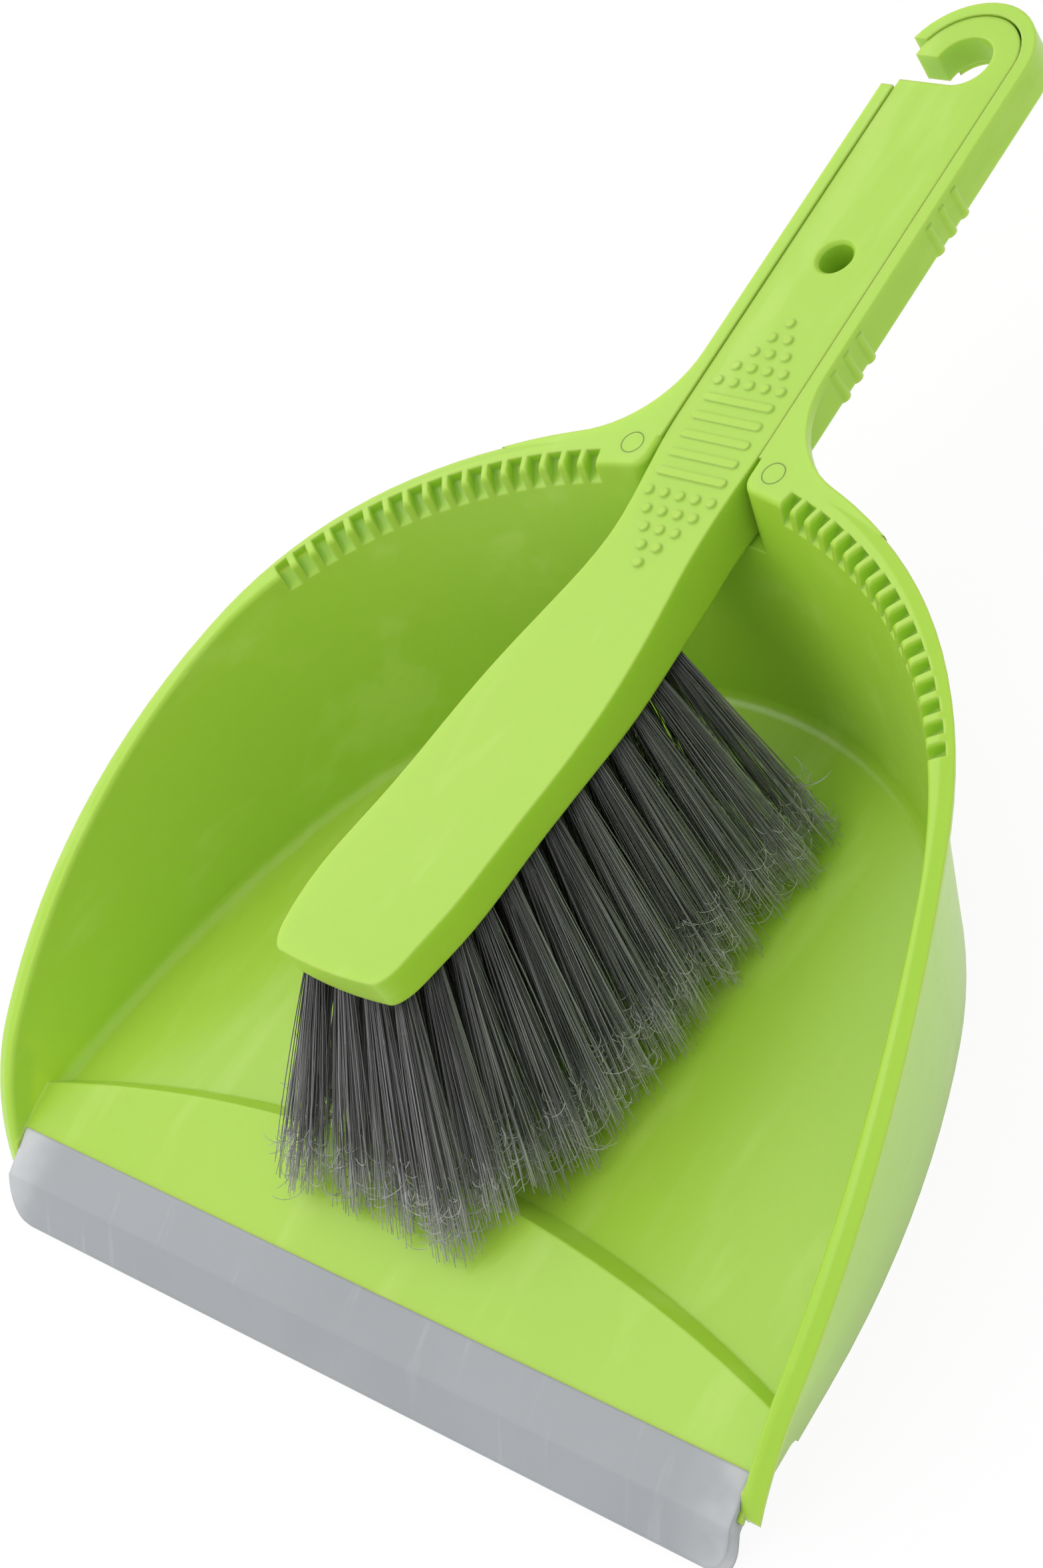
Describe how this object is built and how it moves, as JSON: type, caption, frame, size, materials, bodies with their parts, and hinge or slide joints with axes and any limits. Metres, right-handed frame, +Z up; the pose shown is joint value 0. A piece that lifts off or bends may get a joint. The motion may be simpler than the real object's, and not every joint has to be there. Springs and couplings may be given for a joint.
{
  "type": "hand broom and dustpan set",
  "caption": "Green moulded dustpan with a grey rubber lip and a comb-toothed rim, with its hand broom nested handle to handle and grey bristles resting in the pan.",
  "frame": {"origin": "On the ground, below the middle of the set's length and width.", "axes": "+X across the pan to the right when the lip points away from the viewer's feet, +Y from the lip towards the hooks, +Z up."},
  "size_m": [0.2378, 0.33, 0.0715],
  "materials": {
    "pan_plastic": "semi-gloss moulded polypropylene, light green",
    "broom_plastic": "semi-gloss moulded polypropylene, light green",
    "lip_rubber": "soft matt grey rubber",
    "bristle": "drawn polymer filament with split, paler tips",
    "anchor_wire": "flat drawn wire"
  },
  "bodies": {
    "pan": {"dustpan": "pan_plastic", "rubber_lip": "lip_rubber"},
    "broom": {"brush_body": "broom_plastic", "anchor_staples": "anchor_wire", "tuft_row_01": "bristle", "tuft_row_02": "bristle", "tuft_row_03": "bristle", "tuft_row_04": "bristle", "tuft_row_05": "bristle", "tuft_row_06": "bristle", "tuft_row_07": "bristle", "tuft_row_08": "bristle", "tuft_row_09": "bristle", "tuft_row_10": "bristle", "tuft_row_11": "bristle", "tuft_row_12": "bristle", "tuft_row_13": "bristle"}
  },
  "joints": [
    {"name": "brush_lift", "type": "slide", "parent": "pan", "child": "broom", "axis": [0, 0, 1], "range_m": [0, 0.09]}
  ]
}
